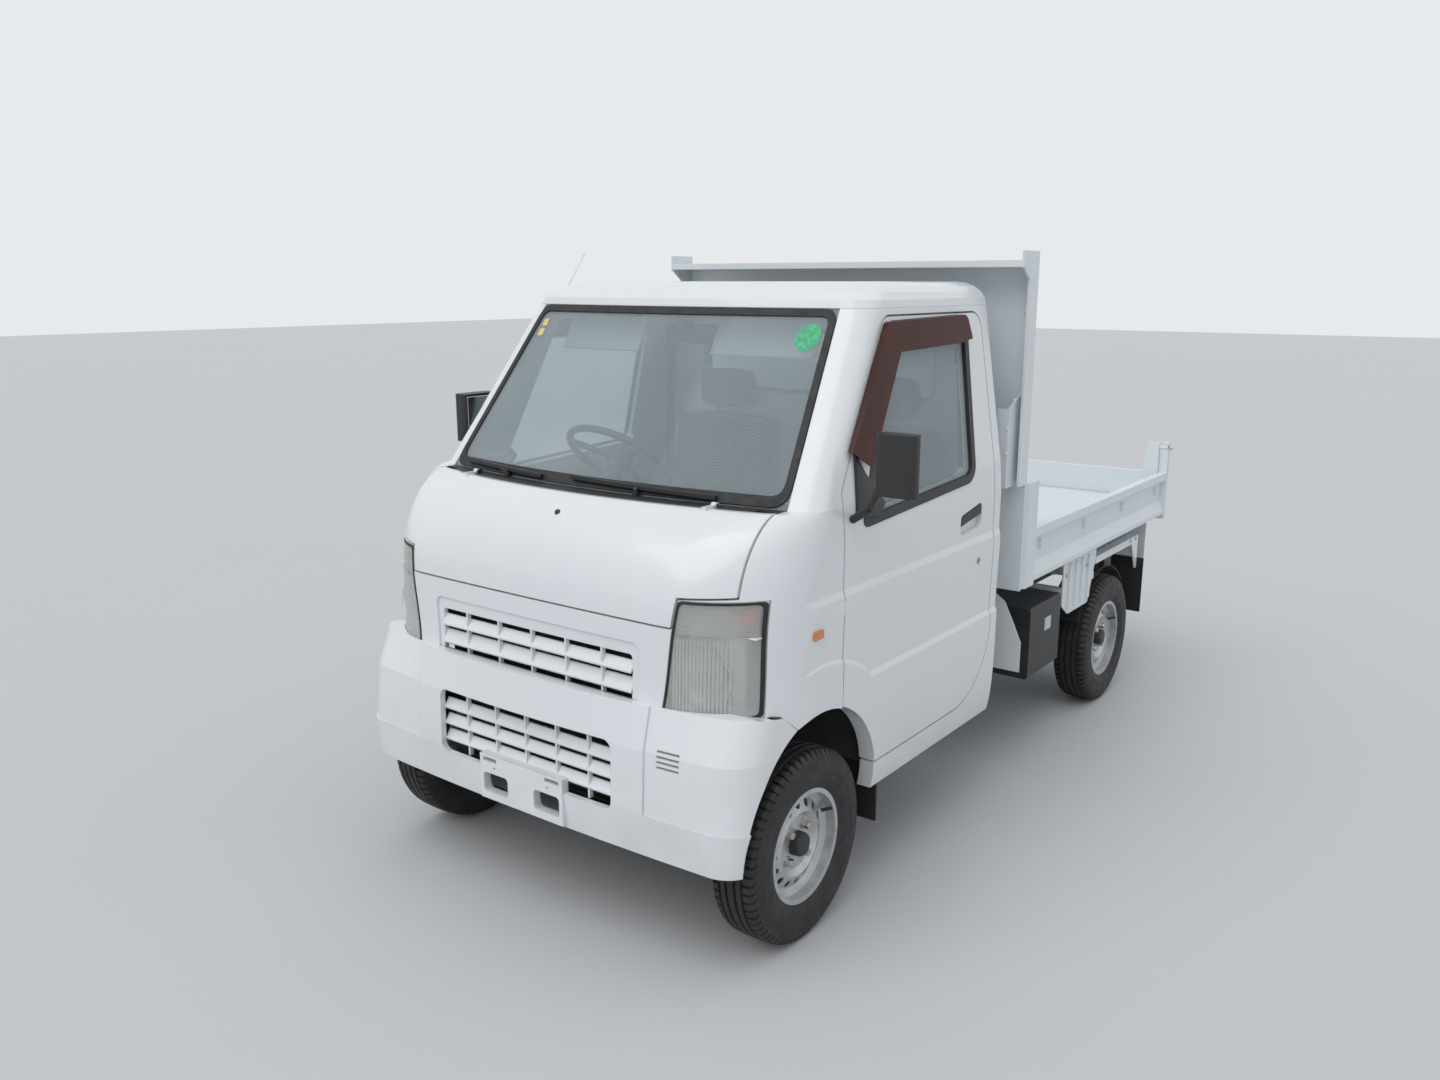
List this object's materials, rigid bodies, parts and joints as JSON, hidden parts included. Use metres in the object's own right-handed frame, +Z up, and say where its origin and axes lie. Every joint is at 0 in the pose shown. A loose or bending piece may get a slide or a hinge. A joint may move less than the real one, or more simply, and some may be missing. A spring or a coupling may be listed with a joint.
{
  "type": "kei dump truck",
  "caption": "Small cab-over dump truck with a short nose, opening doors and front lid, steered front wheels and a tipping steel bed.",
  "frame": {"origin": "on the ground at the middle of the vehicle's length and width", "axes": "+X to the vehicle's left, -Y forwards, +Z up"},
  "size_m": [1.795, 3.395, 1.86],
  "materials": {
    "body_white": "gloss white paint",
    "bed_white": "satin white paint",
    "black_plastic": "grained black plastic",
    "interior_grey": "grained dark grey plastic",
    "glass": "clear, faintly green",
    "smoked_visor": "smoked brown plastic",
    "lamp_lens": "clear moulded lens",
    "lamp_bowl": "silvered bowl",
    "tyre": "black rubber",
    "rim_silver": "silver paint",
    "chassis_black": "black chassis paint",
    "mount_rubber": "matt rubber",
    "engine_metal": "raw castings",
    "seat_cloth": "dark grey cloth",
    "rod_chrome": "hard chrome",
    "amber_lamp": "amber lens",
    "red_lamp": "red lens"
  },
  "bodies": {
    "chassis": {"cab_side_left": "body_white", "cab_side_right": "body_white", "cab_roof": "body_white", "cab_rear_wall": "body_white", "front_bumper": "body_white", "grille_panel": "body_white", "cab_floor": "chassis_black", "cab_cowl": "black_plastic", "wipers": "black_plastic", "splash_plates": "bed_white", "battery_box": "black_plastic", "windscreen": "glass", "rear_window": "glass", "headlamp_lenses": "lamp_lens", "headlamp_housings": "lamp_bowl", "dashboard": "interior_grey", "seat_cushions": "seat_cloth", "seat_backs": "seat_cloth", "engine_block": "engine_metal", "radiator": "chassis_black", "rear_axle": "chassis_black", "seat_riser": "chassis_black", "leaf_springs": "chassis_black", "front_suspension": "chassis_black", "fuel_tank": "chassis_black", "driveline": "engine_metal", "rear_guards": "bed_white", "mud_flaps": "mount_rubber", "rear_bar": "bed_white", "tail_lamps": "red_lamp", "chassis_frame": "chassis_black", "tipping_subframe": "bed_white", "cab_trim": "amber_lamp"},
    "knuckle_left": {"knuckle_left": "engine_metal"},
    "wheel_front_left": {"wheel_rim_front_left": "rim_silver", "wheel_tyre_front_left": "tyre"},
    "wheel_rear_left": {"wheel_rim_rear_left": "rim_silver", "wheel_tyre_rear_left": "tyre"},
    "door_left": {"door_left": "body_white", "door_glass_left": "glass", "door_trim_left": "black_plastic", "door_visor_left": "smoked_visor"},
    "knuckle_right": {"knuckle_right": "engine_metal"},
    "wheel_front_right": {"wheel_rim_front_right": "rim_silver", "wheel_tyre_front_right": "tyre"},
    "wheel_rear_right": {"wheel_rim_rear_right": "rim_silver", "wheel_tyre_rear_right": "tyre"},
    "door_right": {"door_right": "body_white", "door_glass_right": "glass", "door_trim_right": "black_plastic", "door_visor_right": "smoked_visor"},
    "steering_wheel": {"steering_wheel": "interior_grey"},
    "front_lid": {"front_lid": "body_white"},
    "bed": {"bed_body": "bed_white", "bed_headboard": "bed_white"},
    "tailgate": {"tailgate": "bed_white"},
    "cylinder_barrel": {"cylinder_barrel": "chassis_black"},
    "cylinder_rod": {"cylinder_rod": "rod_chrome"}
  },
  "joints": [
    {"name": "steer_left", "type": "hinge", "parent": "chassis", "child": "knuckle_left", "pos_m": [0.6, -1.3175, 0.19], "axis": [-0.1918, 0, 0.9814], "range_deg": [-32, 32]},
    {"name": "wheel_front_left_spin", "type": "hinge", "parent": "knuckle_left", "child": "wheel_front_left", "pos_m": [0.645, -1.3175, 0.271], "axis": [1, 0, 0], "continuous": true},
    {"name": "wheel_rear_left_spin", "type": "hinge", "parent": "chassis", "child": "wheel_rear_left", "pos_m": [0.645, 1.0325, 0.271], "axis": [1, 0, 0], "continuous": true},
    {"name": "door_left_hinge", "type": "hinge", "parent": "chassis", "child": "door_left", "pos_m": [0.7345, -1.2, 0.8], "axis": [0, 0, -1], "range_deg": [0, 65]},
    {"name": "steer_right", "type": "hinge", "parent": "chassis", "child": "knuckle_right", "pos_m": [-0.6, -1.3175, 0.19], "axis": [0.1918, 0, 0.9814], "range_deg": [-32, 32]},
    {"name": "wheel_front_right_spin", "type": "hinge", "parent": "knuckle_right", "child": "wheel_front_right", "pos_m": [-0.645, -1.3175, 0.271], "axis": [1, 0, 0], "continuous": true},
    {"name": "wheel_rear_right_spin", "type": "hinge", "parent": "chassis", "child": "wheel_rear_right", "pos_m": [-0.645, 1.0325, 0.271], "axis": [1, 0, 0], "continuous": true},
    {"name": "door_right_hinge", "type": "hinge", "parent": "chassis", "child": "door_right", "pos_m": [-0.7345, -1.2, 0.8], "axis": [0, 0, 1], "range_deg": [0, 65]},
    {"name": "steering_wheel_turn", "type": "hinge", "parent": "chassis", "child": "steering_wheel", "pos_m": [-0.34, -0.8825, 1.18], "axis": [0, 0.6428, 0.766], "range_deg": [-480, 480]},
    {"name": "front_lid_hinge", "type": "hinge", "parent": "chassis", "child": "front_lid", "pos_m": [0, -1.4025, 1.195], "axis": [-1, 0, 0], "range_deg": [0, 50]},
    {"name": "bed_tip", "type": "hinge", "parent": "chassis", "child": "bed", "pos_m": [0, 1.5825, 0.64], "axis": [-1, 0, 0], "range_deg": [0, 45]},
    {"name": "tailgate_swing", "type": "hinge", "parent": "bed", "child": "tailgate", "pos_m": [0, 1.6775, 1.02], "axis": [1, 0, 0], "range_deg": [0, 80]},
    {"name": "cylinder_turn", "type": "hinge", "parent": "chassis", "child": "cylinder_barrel", "pos_m": [0, 1.4975, 0.48], "axis": [-1, 0, 0], "range_deg": [0, 45]},
    {"name": "cylinder_stroke", "type": "slide", "parent": "cylinder_barrel", "child": "cylinder_rod", "axis": [0, -0.9856, 0.169], "range_m": [0, 0.139]}
  ],
  "couplings": [
    {"joint": "steer_right", "follows": "steer_left", "ratio": 1},
    {"joint": "steering_wheel_turn", "follows": "steer_left", "ratio": 15},
    {"joint": "cylinder_turn", "follows": "bed_tip", "ratio": 0.999},
    {"joint": "cylinder_stroke", "follows": "bed_tip", "m_per_rad": 0.1766}
  ]
}
